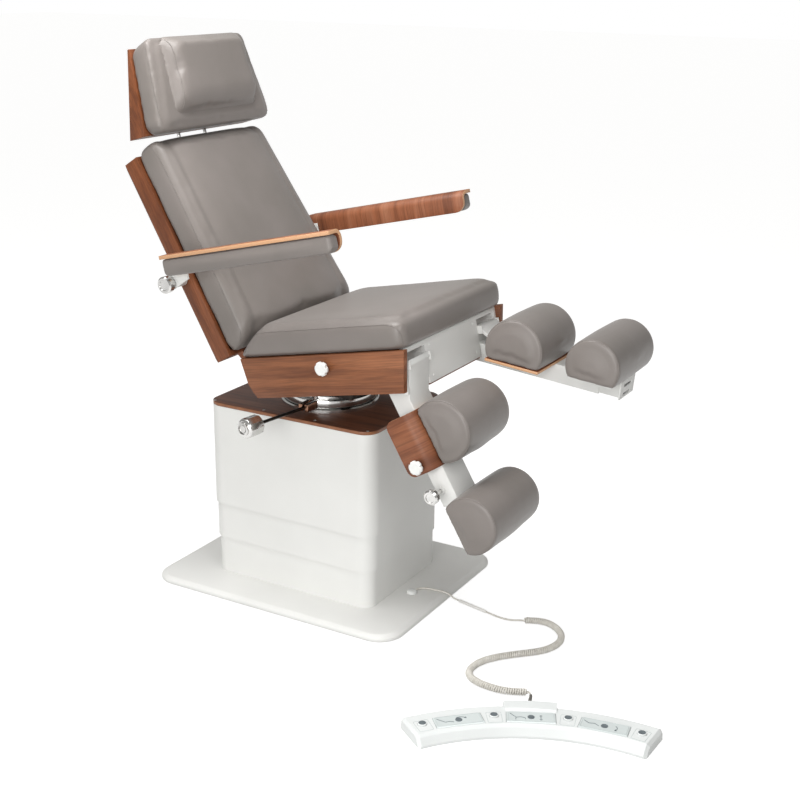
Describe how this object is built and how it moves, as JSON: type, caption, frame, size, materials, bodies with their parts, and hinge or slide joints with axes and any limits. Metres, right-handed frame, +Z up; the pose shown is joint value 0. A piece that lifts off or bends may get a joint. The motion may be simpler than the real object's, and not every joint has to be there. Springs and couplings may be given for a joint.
{
  "type": "podiatry chair",
  "caption": "Electric podiatry treatment chair on a telescoping column, with swivelling tilting seat, reclining back, swing-up arms and split sliding leg rests.",
  "frame": {"origin": "on the floor under the seat's swivel axis", "axes": "+X the way the sitter faces, +Y the sitter's left, +Z up"},
  "size_m": [1.6481, 1.0614, 1.5139],
  "materials": {
    "white_paint": "satin powder coat",
    "walnut": "satin lacquered walnut veneer",
    "dark_walnut": "satin lacquered walnut veneer",
    "top_board": "dark lacquered board",
    "ply": "lacquered bent plywood",
    "upholstery": "smooth matt synthetic leather",
    "chrome": "polished",
    "steel": "brushed",
    "dark_steel": "blackened",
    "white_plastic": "glossy",
    "pedal_plastic": "fine grained",
    "button_rubber": "matt",
    "cord_plastic": "matt",
    "relief_rubber": "ribbed"
  },
  "bodies": {
    "base": {"base_plate": "white_paint", "lower_shroud": "white_paint", "lift_outer_tube": "steel", "cable_gland": "white_plastic", "cord_lead": "cord_plastic", "cord_coupler": "cord_plastic", "cord_tail": "cord_plastic", "cord_coil": "cord_plastic", "pedal_strain_relief": "relief_rubber", "pedal_housing": "pedal_plastic"},
    "middle": {"mid_shroud": "white_paint", "lift_mid_tube": "steel"},
    "column": {"upper_shroud": "white_paint", "top_plate": "top_board", "lift_inner_tube": "steel", "swivel_flange": "chrome"},
    "swivel": {"turntable": "chrome", "clamp_ring": "steel", "tilt_cradle": "dark_steel"},
    "lever": {"clamp_lever": "dark_steel"},
    "seat": {"seat_pan": "walnut", "seat_front_panel": "white_paint", "seat_frame": "white_paint", "seat_cushion": "upholstery"},
    "seat_knob": {"seat_knob": "white_plastic"},
    "back": {"back_shell": "dark_walnut", "back_cushion": "upholstery"},
    "head": {"head_rods": "chrome", "head_shell": "dark_walnut", "head_cushion": "upholstery", "head_pillow": "upholstery"},
    "right_arm": {"right_arm_bracket": "white_paint", "right_arm_shell": "ply", "right_arm_pad": "upholstery"},
    "right_arm_knob": {"right_arm_knob": "chrome"},
    "right_leg": {"right_leg_tube": "white_paint"},
    "right_leg_knob": {"right_leg_knob": "chrome"},
    "right_calf": {"right_calf_shell": "ply", "right_calf_cushion": "upholstery"},
    "right_calf_knob": {"right_calf_knob": "white_plastic"},
    "right_foot": {"right_foot_tube": "white_paint", "right_foot_cushion": "upholstery"},
    "left_arm": {"left_arm_bracket": "white_paint", "left_arm_shell": "ply", "left_arm_pad": "upholstery"},
    "left_arm_knob": {"left_arm_knob": "chrome"},
    "left_leg": {"left_leg_tube": "white_paint"},
    "left_leg_knob": {"left_leg_knob": "chrome"},
    "left_calf": {"left_calf_shell": "ply", "left_calf_cushion": "upholstery"},
    "left_calf_knob": {"left_calf_knob": "white_plastic"},
    "left_foot": {"left_foot_tube": "white_paint", "left_foot_cushion": "upholstery"},
    "button_1": {"pedal_button_1": "button_rubber"},
    "button_2": {"pedal_button_2": "button_rubber"},
    "button_3": {"pedal_button_3": "button_rubber"},
    "button_4": {"pedal_button_4": "button_rubber"},
    "rocker_1": {"pedal_rocker_1": "pedal_plastic"},
    "rocker_2": {"pedal_rocker_2": "pedal_plastic"},
    "rocker_3": {"pedal_rocker_3": "pedal_plastic"}
  },
  "joints": [
    {"name": "lift", "type": "slide", "parent": "base", "child": "column", "axis": [0, 0, 1], "range_m": [-0.205, 0.1]},
    {"name": "middle_shroud", "type": "slide", "parent": "base", "child": "middle", "axis": [0, 0, 1], "range_m": [-0.1025, 0.05]},
    {"name": "swivel", "type": "hinge", "parent": "column", "child": "swivel", "pos_m": [0, 0, 0.545], "axis": [0, 0, 1], "range_deg": [-170, 170]},
    {"name": "clamp_lever", "type": "hinge", "parent": "swivel", "child": "lever", "pos_m": [0.024, -0.172, 0.557], "axis": [-0.1564, -0.9877, 0], "range_deg": [-180, 180]},
    {"name": "seat_tilt", "type": "hinge", "parent": "swivel", "child": "seat", "pos_m": [0.075, 0, 0.645], "axis": [0, -1, 0], "range_deg": [-11.28, 8]},
    {"name": "seat_knob", "type": "hinge", "parent": "seat", "child": "seat_knob", "pos_m": [0.16336, -0.2803, 0.72083], "axis": [0, -1, 0], "range_deg": [-180, 180]},
    {"name": "back_recline", "type": "hinge", "parent": "seat", "child": "back", "pos_m": [-0.13534, 0, 0.68471], "axis": [0, -1, 0], "range_deg": [0, 60]},
    {"name": "head_slide", "type": "slide", "parent": "back", "child": "head", "axis": [-0.2823, 0, 0.9593], "range_m": [0, 0.09]},
    {"name": "right_arm", "type": "hinge", "parent": "back", "child": "right_arm", "pos_m": [-0.29689, -0.312, 0.88948], "axis": [0, -1, 0], "range_deg": [-5, 110]},
    {"name": "right_arm_knob", "type": "hinge", "parent": "right_arm", "child": "right_arm_knob", "pos_m": [-0.29689, -0.3183, 0.88948], "axis": [0, -1, 0], "range_deg": [-180, 180]},
    {"name": "right_leg", "type": "hinge", "parent": "seat", "child": "right_leg", "pos_m": [0.38801, -0.198, 0.75504], "axis": [0, 1, 0], "range_deg": [-75, 11.7]},
    {"name": "right_leg_knob", "type": "hinge", "parent": "right_leg", "child": "right_leg_knob", "pos_m": [0.49331, -0.29, 0.44279], "axis": [0, -1, 0], "range_deg": [-180, 180]},
    {"name": "right_calf_slide", "type": "slide", "parent": "right_leg", "child": "right_calf", "axis": [0.5135, 0, -0.8581], "range_m": [-0.028, 0.015]},
    {"name": "right_calf_knob", "type": "hinge", "parent": "right_calf", "child": "right_calf_knob", "pos_m": [0.44348, -0.2833, 0.50853], "axis": [0, -1, 0], "range_deg": [-180, 180]},
    {"name": "right_foot_slide", "type": "slide", "parent": "right_leg", "child": "right_foot", "axis": [0.5135, 0, -0.8581], "range_m": [-0.057, 0.043]},
    {"name": "left_arm", "type": "hinge", "parent": "back", "child": "left_arm", "pos_m": [-0.29689, 0.312, 0.88948], "axis": [0, -1, 0], "range_deg": [-5, 110]},
    {"name": "left_arm_knob", "type": "hinge", "parent": "left_arm", "child": "left_arm_knob", "pos_m": [-0.29689, 0.3183, 0.88948], "axis": [0, 1, 0], "range_deg": [-180, 180]},
    {"name": "left_leg", "type": "hinge", "parent": "seat", "child": "left_leg", "pos_m": [0.38801, 0.198, 0.75504], "axis": [0, 1, 0], "range_deg": [-22, 64.9]},
    {"name": "left_leg_knob", "type": "hinge", "parent": "left_leg", "child": "left_leg_knob", "pos_m": [0.7014, 0.29, 0.65318], "axis": [0, 1, 0], "range_deg": [-180, 180]},
    {"name": "left_calf_slide", "type": "slide", "parent": "left_leg", "child": "left_calf", "axis": [0.995, 0, -0.1], "range_m": [0, 0.043]},
    {"name": "left_calf_knob", "type": "hinge", "parent": "left_calf", "child": "left_calf_knob", "pos_m": [0.59105, 0.2833, 0.65523], "axis": [0, 1, 0], "range_deg": [-180, 180]},
    {"name": "left_foot_slide", "type": "slide", "parent": "left_leg", "child": "left_foot", "axis": [0.995, 0, -0.1], "range_m": [0, 0.1]},
    {"name": "button_1", "type": "slide", "parent": "base", "child": "button_1", "axis": [0, 0, -1], "range_m": [0, 0.0025], "stiffness_N_per_m": 400, "springref_m": -0.0005},
    {"name": "button_2", "type": "slide", "parent": "base", "child": "button_2", "axis": [0, 0, -1], "range_m": [0, 0.0025], "stiffness_N_per_m": 400, "springref_m": -0.0005},
    {"name": "button_3", "type": "slide", "parent": "base", "child": "button_3", "axis": [0, 0, -1], "range_m": [0, 0.0025], "stiffness_N_per_m": 400, "springref_m": -0.0005},
    {"name": "button_4", "type": "slide", "parent": "base", "child": "button_4", "axis": [0, 0, -1], "range_m": [0, 0.0025], "stiffness_N_per_m": 400, "springref_m": -0.0005},
    {"name": "rocker_1", "type": "hinge", "parent": "base", "child": "rocker_1", "pos_m": [1.02779, -0.43252, 0.027], "axis": [-0.1607, 0.987, 0], "range_deg": [-1.5, 1.5], "stiffness_Nm_per_rad": 4},
    {"name": "rocker_2", "type": "hinge", "parent": "base", "child": "rocker_2", "pos_m": [0.86551, -0.48439, 0.027], "axis": [-0.4415, 0.8973, 0], "range_deg": [-1.5, 1.5], "stiffness_Nm_per_rad": 4},
    {"name": "rocker_3", "type": "hinge", "parent": "base", "child": "rocker_3", "pos_m": [0.7254, -0.58131, 0.027], "axis": [-0.6839, 0.7296, 0], "range_deg": [-1.5, 1.5], "stiffness_Nm_per_rad": 4}
  ],
  "couplings": [
    {"joint": "middle_shroud", "follows": "lift", "ratio": 0.5}
  ]
}
